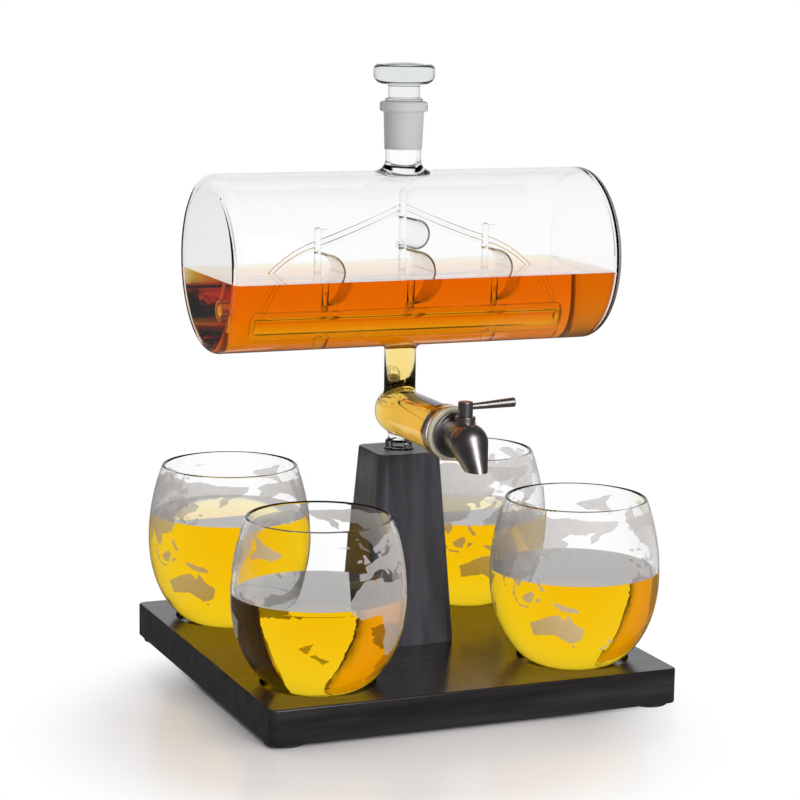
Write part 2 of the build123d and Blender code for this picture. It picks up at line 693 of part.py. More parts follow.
def lever_rod():
    run = HUB_RADIUS - LEVER_ENTRY
    bar = taper(LEVER_ROOT_RADIUS, LEVER_TIP_RADIUS, run, LEVER_REACH)
    bar = fillet(rims(bar, LEVER_REACH), LEVER_TIP_ROUND)
    return upright_on_valve(Pos(0, 0, LEVER_RISE) * Rot(0, 90 - LEVER_LIFT_ANGLE, 0) * bar)


def set_screw():
    bar = rod(SET_SCREW_RADIUS, PIN_RADIUS + VALVE_CLEARANCE, HUB_RADIUS)
    height = HUB_FOOT + PIN_ENTRY / 2
    return upright_on_valve(Pos(0, 0, height) * Rot(0, -90, 0) * bar)


def lever_hub(plug, lever, screw):
    hub = rod(HUB_RADIUS, HUB_FOOT, HUB_TOP)
    hub = fillet(rims(hub, HUB_TOP), HUB_ROUND)
    return upright_on_valve(hub) - plug - lever - screw


def all_pieces():
    """Every piece of the object by its name."""
    pieces = {"tray": tray(), "post": post(), "post_screws": post_screws(), "post_pad": pad()}
    for corner, (side, row) in CORNERS.items():
        pieces[f"foot_{corner}"] = foot(side, row)
    for corner, place in glass_places().items():
        pieces[f"glass_{corner}"] = place * glass()

    pieces.update(decanter_pieces())
    pieces["stopper"] = stopper()
    pieces["ship_hull"] = ship_hull()
    pieces["ship_legs"] = ship_legs()
    masts = ship_masts()
    pieces.update(masts)
    pieces["ship_sails"] = ship_sails(masts)
    pieces["ship_rigging"] = ship_rigging(masts)

    pieces["front_seal"] = front_seal()
    pieces["bung"] = bung()
    pieces["shank_washer"] = shank_washer()
    pieces["shank_nut"] = shank_nut()
    pieces["tap_body"] = tap_body()
    pieces["bonnet"] = bonnet()
    pieces["valve_plug"] = valve_plug()
    pieces["valve_rings"] = valve_rings()
    pieces["lever_rod"] = lever_rod()
    pieces["set_screw"] = set_screw()
    pieces["lever_hub"] = lever_hub(pieces["valve_plug"], pieces["lever_rod"], pieces["set_screw"])
    return pieces


os.makedirs("parts", exist_ok=True)
for name, piece in all_pieces().items():
    export_step(piece, f"parts/{name}.step")
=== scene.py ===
"""Looks of the drink dispenser: materials, drink, frosted maps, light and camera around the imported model.

Metres. +Z is up, +X runs along the barrel and -Y is the side that the tap points to.
"""

import math

import bmesh
import bpy
from mathutils import Matrix, Vector, geometry, noise


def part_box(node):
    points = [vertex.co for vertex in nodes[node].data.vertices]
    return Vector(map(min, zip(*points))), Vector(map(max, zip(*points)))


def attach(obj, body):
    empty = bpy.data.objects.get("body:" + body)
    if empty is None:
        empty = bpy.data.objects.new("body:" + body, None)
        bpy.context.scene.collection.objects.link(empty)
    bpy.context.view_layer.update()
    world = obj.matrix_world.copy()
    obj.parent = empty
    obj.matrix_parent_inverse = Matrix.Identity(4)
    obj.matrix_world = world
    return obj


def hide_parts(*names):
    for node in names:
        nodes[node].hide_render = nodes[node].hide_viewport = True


# Camera, as the photograph was taken
FRAME_PIXELS = 800
FOCAL_PIXELS = 2510.3
CAMERA_PLACE = (-0.49962, -1.19585, 0.37158)
CAMERA_YAW = 22.687
CAMERA_PITCH = 9.869
CAMERA_ROLL = 0.853

# Sizes of the solids that the drink and the maps have to fit
BARREL_AXIS = 0.2210
BARREL_BORE = 0.0430
BARREL_HALF = 0.1037
BARREL_SHOULDER = 0.0040
STEM_BORE = 0.00645
STEM_BORE_FLARE = 0.0032
ARM_AXIS = 0.1405
ARM_BORE = 0.0100
ARM_BACK = 0.0020
ARM_FRONT = 0.0596
HULL_AXIS = 0.1971
HULL_RADIUS = 0.0056
HULL_HALF = 0.0870
HULL_ROUND = 0.0036
JOINT_FOOT = 0.2774
LIP_TOP = 0.3019

# Seams between the CAD nodes of the decanter's glass: two round cuts about the upright axis and one level cut
NECK_SEAM_RADIUS = 0.0167
STEM_SEAM_RADIUS = 0.01275
STEM_SEAM_HEIGHT = 0.16415
SEAM_TOLERANCE = 0.000002
LEVEL_FACE_NORMAL = 0.5
VESSEL = ["barrel", "neck", "stem", "drain_arm"]
SHIP_MASTS = ["ship_fore_mast", "ship_main_mast", "ship_mizzen_mast"]
SHIP_ON_HULL = ["ship_legs", *SHIP_MASTS, "ship_sails", "ship_rigging"]

# Globe glasses
GLASS_FLOOR = 0.0163
GLASS_BELLY_RADIUS = 0.0437
GLASS_BELLY_HEIGHT = 0.0470
GLASS_FOOT_RADIUS = 0.0140
GLASS_SWEEP_RADIUS = 0.1108
GLASS_WALL = 0.0017
GLASS_BOTTOM = 0.0032

# Drink: it reaches a little way into all glass that it touches, so that no air shows between them
OVERLAP = 0.00015
BARREL_LEVEL = 0.2152
GLASS_LEVELS = {"front_left": 0.0655, "front_right": 0.0665, "back_left": 0.0775, "back_right": 0.0685}

# Frosted maps: the height of a latitude, and the longitude that faces the camera on each glass
EQUATOR_HEIGHT = 0.0584
DEGREE_RISE = 0.000575
NORTH_LIMIT = 76.0
MAP_LIFT = 0.00004
MAP_GRID = 4.0
MAP_WELD = 0.0001
TRIANGLES_INSIDE = 1
COAST_STEP = 3.0
COAST_ROUGHNESS_SHARE = 0.32
COAST_NOISE_LAYER = 0.5
FACING_LONGITUDES = {"front_left": -11.0, "front_right": 149.5, "back_left": 160.0, "back_right": 120.0}
CAMERA_SIDE = -112.7

# On these glasses Africa and Europe stand further east than on a true map, and America further west
OLD_WORLD_EAST = 51.0
OLD_WORLD_SHIFT = 27.5
FAR_EAST_START = 105.0
NORTH_AMERICA_SHIFT = -8.0
SOUTH_AMERICA_SHIFT = -39.0

# Drawn outlines of the land in degrees east and north
NORTH_AMERICA = [
    [(-166, 68), (-156, 71), (-141, 70), (-128, 70), (-115, 68), (-102, 68), (-94, 72), (-86, 70), (-82, 67),
     (-87, 64), (-94, 61), (-94, 58), (-88, 56), (-82, 55), (-80, 51), (-78, 54), (-77, 58), (-78, 62),
     (-74, 62), (-72, 58), (-69, 55), (-67, 52), (-69, 50), (-68, 47), (-67, 45), (-69, 44), (-70, 43),
     (-74, 40), (-76, 36), (-81, 31), (-80, 26), (-82, 29), (-86, 30), (-90, 29), (-97, 28), (-98, 22),
     (-95, 18), (-91, 19), (-88, 21), (-88, 16), (-83, 15), (-83, 10), (-78, 9), (-82, 8), (-86, 11),
     (-92, 14), (-97, 16), (-105, 20), (-109, 25), (-113, 31), (-115, 30), (-110, 23), (-112, 25), (-117, 33),
     (-121, 36), (-124, 41), (-124, 47), (-130, 54), (-136, 58), (-146, 61), (-152, 59), (-160, 56),
     (-158, 59), (-165, 61), (-162, 65)],
    [(-117, 73), (-105, 73), (-102, 69), (-114, 69)],
    [(-85, 22), (-80, 23), (-75, 20), (-78, 20)],
    [(-74, 20), (-69, 19), (-71, 18), (-74, 18)],
]
SOUTH_AMERICA = [
    [(-78, 8), (-72, 12), (-62, 10), (-52, 5), (-50, 0), (-44, -2), (-35, -6), (-37, -12), (-39, -18),
     (-42, -23), (-48, -26), (-53, -34), (-58, -35), (-62, -39), (-65, -43), (-67, -47), (-69, -52),
     (-68, -55), (-74, -52), (-75, -46), (-73, -38), (-71, -30), (-70, -20), (-76, -14), (-81, -5), (-79, 1)],
]
GREENLAND = [
    [(-64.5, 68.6), (-57, 67.6), (-48, 62.8), (-38, 60), (-34, 57), (-43, 52.2), (-52, 53.3), (-61, 49.8),
     (-64, 52.2), (-59.5, 57.5), (-58.5, 61), (-62, 66)],
]
OLD_WORLD = [
    [(-6, 36), (3, 37), (10, 37), (11, 33), (20, 31), (25, 32), (32, 31), (35, 27), (38, 20), (43, 12),
     (51, 12), (47, 4), (41, -3), (39, -8), (41, -15), (35, -20), (35, -25), (31, -30), (25, -34), (19, -34),
     (15, -27), (12, -18), (13, -10), (9, -1), (9, 4), (4, 6), (-4, 5), (-8, 4), (-13, 9), (-17, 14),
     (-16, 20), (-13, 27), (-9, 31)],
    [(49, -12), (50, -16), (47, -25), (44, -24), (44, -17)],
    [(-9, 37), (-9, 43), (-2, 43), (-4, 48), (2, 51), (8, 54), (8, 57), (11, 57), (12, 54), (20, 55),
     (24, 59), (29, 60), (22, 60), (21, 63), (25, 65), (22, 66), (17, 61), (16, 57), (12, 56), (11, 59),
     (6, 58), (5, 62), (12, 66), (19, 70), (28, 71), (40, 67), (34, 66), (38, 64), (44, 66), (54, 69),
     (60, 69), (68, 73), (72, 72), (80, 73), (90, 75), (104, 78), (113, 74), (130, 71), (140, 73), (160, 70),
     (170, 70), (180, 69), (178, 65), (172, 61), (163, 58), (162, 54), (157, 51), (156, 57), (163, 62),
     (153, 59), (142, 59), (136, 55), (141, 52), (139, 47), (131, 43), (128, 40), (129, 36), (126, 35),
     (125, 39), (121, 40), (118, 38), (122, 36), (121, 31), (119, 26), (113, 22), (108, 21), (109, 15),
     (107, 10), (105, 9), (101, 13), (99, 10), (103, 2), (101, 3), (98, 9), (97, 16), (94, 17), (90, 22),
     (86, 20), (80, 14), (78, 8), (74, 14), (72, 20), (68, 24), (61, 25), (57, 27), (51, 30), (48, 30),
     (51, 25), (56, 25), (60, 22), (55, 17), (45, 13), (43, 16), (39, 21), (35, 28), (34, 31), (36, 36),
     (30, 36), (27, 38), (30, 41), (41, 41), (38, 45), (34, 45), (31, 46), (28, 42), (23, 40), (23, 37),
     (20, 40), (14, 45), (18, 40), (16, 38), (12, 43), (8, 44), (3, 43), (0, 39), (-2, 37)],
    [(-5, 50), (1, 51), (-1, 55), (-3, 58), (-5, 58), (-4, 54)],
    [(-10, 52), (-6, 52), (-6, 55), (-9, 54)],
    [(-23, 65), (-14, 64), (-15, 66), (-22, 66)],
    [(52, 71), (58, 74), (68, 77), (60, 76), (54, 73)],
    [(131, 34), (136, 34), (140, 35), (142, 40), (140, 41), (137, 37)],
    [(140, 42), (145, 43), (142, 45)],
    [(120, 18), (122, 18), (126, 8), (123, 9), (120, 14)],
    [(95, 5), (98, 4), (103, 0), (106, -6), (102, -4)],
    [(106, -6), (114, -7), (114, -9), (106, -8)],
    [(109, 1), (117, 7), (119, 4), (116, -4), (110, -3)],
    [(119, -5), (121, -3), (124, 1), (120, 1)],
    [(131, -1), (138, -2), (147, -6), (150, -10), (143, -9), (138, -8), (133, -4)],
    [(80, 9), (82, 7), (80, 6)],
    [(114, -22), (122, -18), (129, -14), (136, -12), (140, -17), (142, -11), (146, -19), (153, -25),
     (153, -31), (150, -37), (143, -39), (138, -35), (131, -31), (124, -33), (115, -34)],
    [(145, -41), (148, -41), (147, -43.5)],
    [(173, -35), (178, -38), (175, -41), (174, -39)],
    [(172, -41), (174, -42), (169, -46.5), (167, -45)],
]

# Meshes
ROUND_STEPS = 128
CURVE_STEPS = 24
SHARP_ANGLE = math.radians(30)

# Noise patterns, and the levels of noise between which a finish goes from its dark to its light colour
EVEN = (1.0, 1.0, 1.0)
PATTERN_DETAIL = 5.0
PATTERN_LOW = 0.3
PATTERN_HIGH = 0.7
WHITE = (1.0, 1.0, 1.0, 1.0)

# Wood: a coarse grain for the colour, and a finer one for gloss and relief
GRAIN_ALONG = 14.0
GRAIN_ACROSS = 160.0
GRAIN_LOW = 0.35
GRAIN_DETAIL = 8.0
FINE_GRAIN_TIMES = 3
FINE_GRAIN_DETAIL = 3.0
GRAIN_BUMP = 0.25
GRAIN_DEPTH = 0.0002
WOOD_LEAST_SHARE = 0.85
WOOD_MOST_SHARE = 1.15

# Steel and rubber
STEEL_MARKS = 300.0
STEEL_DARK_SHARE = 0.93
STEEL_LEAST_SHARE = 0.9
STEEL_MOST_SHARE = 1.1
RUBBER_MOTTLE = 900.0
RUBBER_BUMP = 0.2
RUBBER_DEPTH = 0.0001

# Glass
GLASS_IOR = 1.48
GLASS_GLINT = (0.1, 0.1, 0.1, 1.0)
GLASS_TINT = (0.55, 0.6, 0.6)
WAVE_SCALE = 45.0
WAVE_DETAIL = 1.0
WAVE_DEPTH = 0.0006
GROUND_EDGE = 0.0004
GROUND_ROUGHNESS = 0.5
GROUND_CLEAR_SHARE = 0.65

# Colours of the drink and the shine of its level surface
DRINK_IOR = 1.36
DRINK_GLINT = (0.0, 0.0, 0.0, 1.0)
SURFACE_IOR = 2.1
SURFACE_NORMAL = 0.9
BARREL_SPIRIT = (0.975, 0.775, 0.0)
BARREL_SPIRIT_DENSITY = 104.0
GLASS_SPIRIT = (0.988, 0.892, 0.0)
GLASS_SPIRIT_DENSITY = 72.0

# Frosted land
FROST_GRAIN = 400.0
FROST_DETAIL = 2.0
FROST_DARK = (0.84, 0.79, 0.77)
FROST_LIGHT = (0.9, 0.85, 0.83)
FROST_ROUGHNESS = 0.8
FROST_GLOSS = 0.1
FROST_BACKLIT_SHARE = 0.52
FROST_COVER_SHARE = 0.65

# Room around the object: from two places on the way to its back, and the levels of light there
SEEN_THROUGH = (0.2, 0.65, 0.6, 1.0)
SEEN_TURNED = (0.2, 0.7, 0.2, 0.95)
SEEN_MIRRORED = (0.75, 0.97, 0.07, 0.9)
ROOM_LIGHT = 0.35
ANY_MIRROR = 0.5

# Floor
FLOOR_RADIUS = 4.0
FLOOR_THICKNESS = 0.02
FLOOR_ROUGHNESS = 0.22
FLOOR_GLOSS = 0.35
FLOOR_MOTTLE = 3.0
FLOOR_DARK = (0.92, 0.89, 0.88)
FLOOR_LIGHT = (0.94, 0.91, 0.9)
SHADOW_MIDDLE = (-0.05, -0.09, 0.0)
SHADOW_FULL = 0.1
SHADOW_END = 0.18
FLOOR_DIMMING = (-0.35, 0.15, 0.94, 0.1)
FLOOR_MIRROR_DIMMING = 0.9

# Lamps: place, aim, width, height, watts, and whether reflections show them
LAMPS = {
    "key": ((0.2, -1.6, 0.8), (0, 0, 0.15), 0.7, 1.1, 16.0, True),
    "side": ((1.3, -1.0, 0.6), (0, 0, 0.1), 0.8, 0.8, 4.0, False),
    "top": ((0.1, 0.3, 1.8), (0, 0, 0.1), 1.4, 1.4, 14.0, False),
}
MOST_BOUNCES = 32
MOST_TRANSMISSIONS = 28
MOST_CLEAR_STEPS = 24

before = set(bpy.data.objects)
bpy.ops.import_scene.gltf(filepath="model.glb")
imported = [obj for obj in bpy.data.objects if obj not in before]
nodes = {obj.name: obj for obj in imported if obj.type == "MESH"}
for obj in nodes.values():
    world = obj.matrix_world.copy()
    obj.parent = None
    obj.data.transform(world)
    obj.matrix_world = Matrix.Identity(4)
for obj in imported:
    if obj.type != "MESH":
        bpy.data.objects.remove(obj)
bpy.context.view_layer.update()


# Materials


def shader(name):
    """New node material with a Principled shader: the material, its node tree and the shader."""
    material = bpy.data.materials.new(name)
    material.use_nodes = True
    tree = material.node_tree
    return material, tree, tree.nodes["Principled BSDF"]


def set_values(target, **values):
    """Set sockets of a node by their names, with underscores for spaces."""
    for name, value in values.items():
        target.inputs[name.replace("_", " ")].default_value = value


def pattern(tree, stretch, scale, detail=PATTERN_DETAIL):
    """Noise over the object's own coordinates, stretched along the axes."""
    place = tree.nodes.new("ShaderNodeTexCoord")
    mapping = tree.nodes.new("ShaderNodeMapping")
    mapping.inputs["Scale"].default_value = stretch
    texture = tree.nodes.new("ShaderNodeTexNoise")
    set_values(texture, Scale=scale, Detail=detail)
    tree.links.new(place.outputs["Object"], mapping.inputs["Vector"])
    tree.links.new(mapping.outputs["Vector"], texture.inputs["Vector"])
    return texture.outputs["Fac"]


def ramp(tree, source, low, high, low_colour, high_colour):
    """Colours that change evenly between two levels of a source."""
    node = tree.nodes.new("ShaderNodeValToRGB")
    node.color_ramp.elements[0].position = low
    node.color_ramp.elements[1].position = high
    node.color_ramp.elements[0].color = (*low_colour, 1.0)
    node.color_ramp.elements[1].color = (*high_colour, 1.0)
    tree.links.new(source, node.inputs["Fac"])
    return node.outputs["Color"]


def spread(tree, source, from_low, from_high, to_low, to_high):
    """Number that follows a source from one range to another."""
    node = tree.nodes.new("ShaderNodeMapRange")
    node.interpolation_type = "SMOOTHSTEP"
    node.inputs["From Min"].default_value = from_low
    node.inputs["From Max"].default_value = from_high
    node.inputs["To Min"].default_value = to_low
    node.inputs["To Max"].default_value = to_high
    tree.links.new(source, node.inputs["Value"])
    return node.outputs["Result"]


def bump(tree, surface, source, strength, depth):
    """Let a source raise and lower the surface of a shader."""
    node = tree.nodes.new("ShaderNodeBump")
    set_values(node, Strength=strength, Distance=depth)
    tree.links.new(source, node.inputs["Height"])
    tree.links.new(node.outputs["Normal"], surface.inputs["Normal"])


def object_height(tree):
    """Height in the object's own coordinates."""
    place = tree.nodes.new("ShaderNodeTexCoord")
    split = tree.nodes.new("ShaderNodeSeparateXYZ")
    tree.links.new(place.outputs["Object"], split.inputs["Vector"])
    return split.outputs["Z"]


def facing_up(tree):
    """Height of a surface's normal: one where it faces up, zero where it is upright."""
    normal = tree.nodes.new("ShaderNodeNewGeometry")
    split = tree.nodes.new("ShaderNodeSeparateXYZ")
    tree.links.new(normal.outputs["Normal"], split.inputs["Vector"])
    return split.outputs["Z"]


def calculate(tree, operation, first, second):
    """Result of an operation on two sources, either of which may be a plain number."""
    node = tree.nodes.new("ShaderNodeMath")
    node.operation = operation
    for socket, source in zip(node.inputs, (first, second)):
        if isinstance(source, (int, float)):
            socket.default_value = source
        else:
            tree.links.new(source, socket)
    return node.outputs[0]


def absorb(tree, colour, density):
    """Fill the body behind a surface with a tint that deepens with the way through it."""
    body = tree.nodes.new("ShaderNodeVolumeAbsorption")
    body.inputs["Color"].default_value = (*colour, 1.0)
    body.inputs["Density"].default_value = density
    tree.links.new(body.outputs["Volume"], tree.nodes["Material Output"].inputs["Volume"])


def vary_roughness(tree, surface, source, least, most):
    """Let a noise source vary the roughness of a shader."""
    roughness = spread(tree, source, PATTERN_LOW, PATTERN_HIGH, least, most)
    tree.links.new(roughness, surface.inputs["Roughness"])


def wood(name, stretch, roughness, dark, light):
    """Ebonised wood under lacquer, with its grain along the axis that is stretched least."""
    material, tree, surface = shader(name)
    grain = pattern(tree, stretch, 1.0, GRAIN_DETAIL)
    fine = pattern(tree, tuple(FINE_GRAIN_TIMES * s for s in stretch), 1.0, FINE_GRAIN_DETAIL)
    tree.links.new(ramp(tree, grain, GRAIN_LOW, PATTERN_HIGH, dark, light), surface.inputs["Base Color"])
    vary_roughness(tree, surface, fine, WOOD_LEAST_SHARE * roughness, WOOD_MOST_SHARE * roughness)
    bump(tree, surface, fine, GRAIN_BUMP, GRAIN_DEPTH)
    return material


def steel(name, colour, roughness):
    """Steel whose polish varies a little."""
    material, tree, surface = shader(name)
    set_values(surface, Metallic=1.0)
    marks = pattern(tree, EVEN, STEEL_MARKS)
    darker = tuple(STEEL_DARK_SHARE * c for c in colour)
    tree.links.new(ramp(tree, marks, PATTERN_LOW, PATTERN_HIGH, darker, colour), surface.inputs["Base Color"])
    vary_roughness(tree, surface, marks, STEEL_LEAST_SHARE * roughness, STEEL_MOST_SHARE * roughness)
    return material


def rubber(name, dark, light, roughness):
    """Rubber or silicone with a fine mottle."""
    material, tree, surface = shader(name)
    set_values(surface, Roughness=roughness)
    mottle = pattern(tree, EVEN, RUBBER_MOTTLE)
    tree.links.new(ramp(tree, mottle, PATTERN_LOW, PATTERN_HIGH, dark, light), surface.inputs["Base Color"])
    bump(tree, surface, mottle, RUBBER_BUMP, RUBBER_DEPTH)
    return material


def clear_glass(name, density, wave, ground=None, bend=GLASS_IOR, haze=0.0):
    """Clear glass with a slight unevenness. Past the second of two heights for ground, it is frosted."""
    material, tree, surface = shader(name)
    set_values(surface, IOR=bend, Transmission_Weight=1.0, Roughness=haze)
    set_values(surface, Base_Color=WHITE, Specular_Tint=GLASS_GLINT)
    bump(tree, surface, pattern(tree, EVEN, WAVE_SCALE, WAVE_DETAIL), wave, WAVE_DEPTH)
    absorb(tree, GLASS_TINT, density)
    if ground:
        low, high = ground
        level = object_height(tree)
        tree.links.new(spread(tree, level, low, high, 0.0, GROUND_ROUGHNESS), surface.inputs["Roughness"])
        clear_share = spread(tree, level, low, high, 1.0, GROUND_CLEAR_SHARE)
        tree.links.new(clear_share, surface.inputs["Transmission Weight"])
    return material


def drink(name, colour, density):
    """Amber spirit, deeper in colour where the way through it is longer. Its level surface shines."""
    material, tree, surface = shader(name)
    set_values(surface, IOR=DRINK_IOR, Transmission_Weight=1.0, Roughness=0.0, Specular_Tint=DRINK_GLINT)
    set_values(surface, Base_Color=WHITE, Coat_IOR=SURFACE_IOR, Coat_Roughness=0.0)
    level = calculate(tree, "GREATER_THAN", facing_up(tree), SURFACE_NORMAL)
    tree.links.new(level, surface.inputs["Coat Weight"])
    absorb(tree, colour, density)
    return material


def frost(name):
    """Ground pattern on a glass: it lets some light straight through, scatters some and throws some back."""
    material, tree, surface = shader(name)
    grain = pattern(tree, EVEN, FROST_GRAIN, FROST_DETAIL)
    tint = ramp(tree, grain, PATTERN_LOW, PATTERN_HIGH, FROST_DARK, FROST_LIGHT)
    set_values(surface, Roughness=FROST_ROUGHNESS, Specular_IOR_Level=FROST_GLOSS)
    tree.links.new(tint, surface.inputs["Base Color"])
    through = tree.nodes.new("ShaderNodeBsdfTranslucent")
    tree.links.new(tint, through.inputs["Color"])
    clear = tree.nodes.new("ShaderNodeBsdfTransparent")
    scattered = tree.nodes.new("ShaderNodeMixShader")
    scattered.inputs["Fac"].default_value = FROST_BACKLIT_SHARE
    mixed = tree.nodes.new("ShaderNodeMixShader")
    mixed.inputs["Fac"].default_value = FROST_COVER_SHARE
    tree.links.new(surface.outputs[0], scattered.inputs[1])
    tree.links.new(through.outputs[0], scattered.inputs[2])
    tree.links.new(clear.outputs[0], mixed.inputs[1])
    tree.links.new(scattered.outputs[0], mixed.inputs[2])
    tree.links.new(mixed.outputs[0], tree.nodes["Material Output"].inputs["Surface"])
    return material


def paint(material, *names):
    """Give a material to CAD nodes."""
    for name in names:
        slots = nodes[name].data.materials
        slots.clear()
        slots.append(material)


# Mesh pieces


def new_piece(name, mesh, material, body):
    """Object of a mesh that rides on a CAD body."""
    mesh.materials.clear()
    mesh.materials.append(material)
    piece = bpy.data.objects.new(name, mesh)
    bpy.context.scene.collection.objects.link(piece)
    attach(piece, body)
    return piece


def smooth(mesh):
    """Smooth shading with sharp corners kept."""
    mesh.shade_smooth()
    mesh.set_sharp_from_angle(angle=SHARP_ANGLE)


def flatten(mesh, axis, place):
    """Flat shading for the faces of a mesh that lie in one plane across an axis."""
    for face in mesh.polygons:
        if all(abs(mesh.vertices[k].co[axis] - place) < SEAM_TOLERANCE for k in face.vertices):
            face.use_smooth = False


def lathe(name, profile):
    """Closed solid turned about Z from points of radius and height that start and end on the axis."""
    mesh = bpy.data.meshes.new(name)
    solid = bmesh.new()
    rings = []
    for radius, height in profile[1:-1]:
        ring = []
        for step in range(ROUND_STEPS):
            angle = 2 * math.pi * step / ROUND_STEPS
            ring.append(solid.verts.new((radius * math.cos(angle), radius * math.sin(angle), height)))
        rings.append(ring)
    foot = solid.verts.new((0, 0, profile[0][1]))
    head = solid.verts.new((0, 0, profile[-1][1]))
    for step in range(ROUND_STEPS):
        after = (step + 1) % ROUND_STEPS
        solid.faces.new((foot, rings[0][after], rings[0][step]))
        solid.faces.new((head, rings[-1][step], rings[-1][after]))
        for low, high in zip(rings, rings[1:]):
            solid.faces.new((low[step], low[after], high[after], high[step]))
    bmesh.ops.recalc_face_normals(solid, faces=solid.faces)
    solid.to_mesh(mesh)
    solid.free()
    return mesh


def quarter(centre_radius, centre_height, reach, start, end):
    """Points of an arc in the half section, between two angles in degrees."""
    points = []
    for step in range(CURVE_STEPS + 1):
        angle = math.radians(start + (end - start) * step / CURVE_STEPS)
        points.append((centre_radius + reach * math.cos(angle), centre_height + reach * math.sin(angle)))
    return points


def bar(name, radius, half, shoulder):
    """Round bar along Z with rounded ends."""
    low = quarter(radius - shoulder, shoulder - half, shoulder, -90, 0)
    high = quarter(radius - shoulder, half - shoulder, shoulder, 0, 90)
    return lathe(name, [(0, -half), *low, *high, (0, half)])


def plain_rod(name, radius, low, high):
    """Round bar along Z with flat ends."""
    return lathe(name, [(0, low), (radius, low), (radius, high), (0, high)])


def combine(target, tool, operation):
    """Add the body of a tool mesh to a target object, or cut it away."""
    helper = bpy.data.objects.new("helper", tool)
    bpy.context.scene.collection.objects.link(helper)
    step = target.modifiers.new("combine", "BOOLEAN")
    step.operation = operation
    step.solver = "EXACT"
    step.object = helper
    graph = bpy.context.evaluated_depsgraph_get()
    mesh = bpy.data.meshes.new_from_object(target.evaluated_get(graph))
    target.modifiers.clear()
    target.data = mesh
    bpy.data.objects.remove(helper)


# Decanter


def at_seam(point, normal):
    """Whether a corner of a face lies on a cut between nodes that the face belongs to."""
    if abs(normal.z) > LEVEL_FACE_NORMAL:
        return abs(point.z - STEM_SEAM_HEIGHT) < SEAM_TOLERANCE
    seam_radius = NECK_SEAM_RADIUS if point.z > BARREL_AXIS else STEM_SEAM_RADIUS
    return point.z > STEM_SEAM_HEIGHT and abs(point.xy.length - seam_radius) < SEAM_TOLERANCE


def fused(name, node_names):
    """Mesh of CAD nodes that were melted together: the faces at their seams are left out."""
    verts = []
    faces = []
    normals = []
    for node_name in node_names:
        source = nodes[node_name].data
        start = len(verts)
        verts += [vertex.co.copy() for vertex in source.vertices]
        for face in source.polygons:
            if all(at_seam(source.vertices[k].co, face.normal) for k in face.vertices):
                continue
            faces.append([start + k for k in face.vertices])
            normals += [source.corner_normals[k].vector.copy() for k in face.loop_indices]
    mesh = bpy.data.meshes.new(name)
    mesh.from_pydata(verts, [], faces)
    mesh.shade_smooth()
    mesh.normals_split_custom_set(normals)
    return mesh


# Drink


def shrunk(name):
    """Mesh of a CAD node, smaller all round by the overlap."""
    solid = bmesh.new()
    solid.from_mesh(nodes[name].data)
    bmesh.ops.remove_doubles(solid, verts=solid.verts, dist=SEAM_TOLERANCE)
    solid.normal_update()
    for vertex in solid.verts:
        vertex.co -= vertex.normal * OVERLAP
    mesh = bpy.data.meshes.new(name)
    solid.to_mesh(mesh)
    solid.free()
    return mesh


def barrel_drink():
    """Drink in the barrel up to its level, in the stem and in the arm, with the ship left out of it."""
    body = bar("barrel_drink", BARREL_BORE + OVERLAP, BARREL_HALF + OVERLAP, BARREL_SHOULDER)
    body.transform(Matrix.Translation((0, 0, BARREL_AXIS)) @ Matrix.Rotation(math.pi / 2, 4, "Y"))
    builder = bpy.data.objects.new("builder", body)
    bpy.context.scene.collection.objects.link(builder)

    flare_radius = STEM_BORE + STEM_BORE_FLARE
    flare_foot = BARREL_AXIS - BARREL_BORE - STEM_BORE_FLARE
    flare = quarter(flare_radius, flare_foot, STEM_BORE_FLARE - OVERLAP, 180, 90)
    stem_foot = [(0, ARM_AXIS), (STEM_BORE + OVERLAP, ARM_AXIS)]
    stem_head = [(flare_radius, BARREL_AXIS), (0, BARREL_AXIS)]
    combine(builder, lathe("stem", [*stem_foot, *flare, *stem_head]), "UNION")
    bore = ARM_BORE + OVERLAP
    back = [(r, h - ARM_BACK) for r, h in quarter(0, 0, bore, -90, 0)]
    arm = lathe("arm", [(0, -ARM_BACK - bore), *back[1:], (bore, ARM_FRONT), (0, ARM_FRONT)])
    arm.transform(Matrix.Translation((0, 0, ARM_AXIS)) @ Matrix.Rotation(math.pi / 2, 4, "X"))
    combine(builder, arm, "UNION")

    hull = bar("hull", HULL_RADIUS - OVERLAP, HULL_HALF - OVERLAP, HULL_ROUND - OVERLAP)
    hull.transform(Matrix.Translation((0, 0, HULL_AXIS)) @ Matrix.Rotation(math.pi / 2, 4, "Y"))
    combine(builder, hull, "DIFFERENCE")
    for name in SHIP_ON_HULL:
        combine(builder, shrunk(name), "DIFFERENCE")
    above = BARREL_AXIS + 2 * BARREL_BORE
    combine(builder, plain_rod("air", 2 * BARREL_HALF, BARREL_LEVEL, above), "DIFFERENCE")
    mesh = builder.data
    bpy.data.objects.remove(builder)
    smooth(mesh)
    flatten(mesh, 2, BARREL_LEVEL)
    for side in (-1, 1):
        flatten(mesh, 0, side * (BARREL_HALF + OVERLAP))
    return mesh


def glass_inside(height):
    """Inner radius of a glass at a height above its foot, a little inside the wall."""
    if height < GLASS_BELLY_HEIGHT:
        reach = GLASS_BELLY_RADIUS - GLASS_FOOT_RADIUS - GLASS_WALL
        share = (GLASS_BELLY_HEIGHT - height) / (GLASS_BELLY_HEIGHT - GLASS_BOTTOM)
        return GLASS_FOOT_RADIUS + reach * math.sqrt(1 - share**2) + OVERLAP
    sweep = GLASS_SWEEP_RADIUS - GLASS_WALL
    middle = GLASS_BELLY_RADIUS - GLASS_SWEEP_RADIUS
    return middle + math.sqrt(sweep**2 - (height - GLASS_BELLY_HEIGHT) ** 2) + OVERLAP


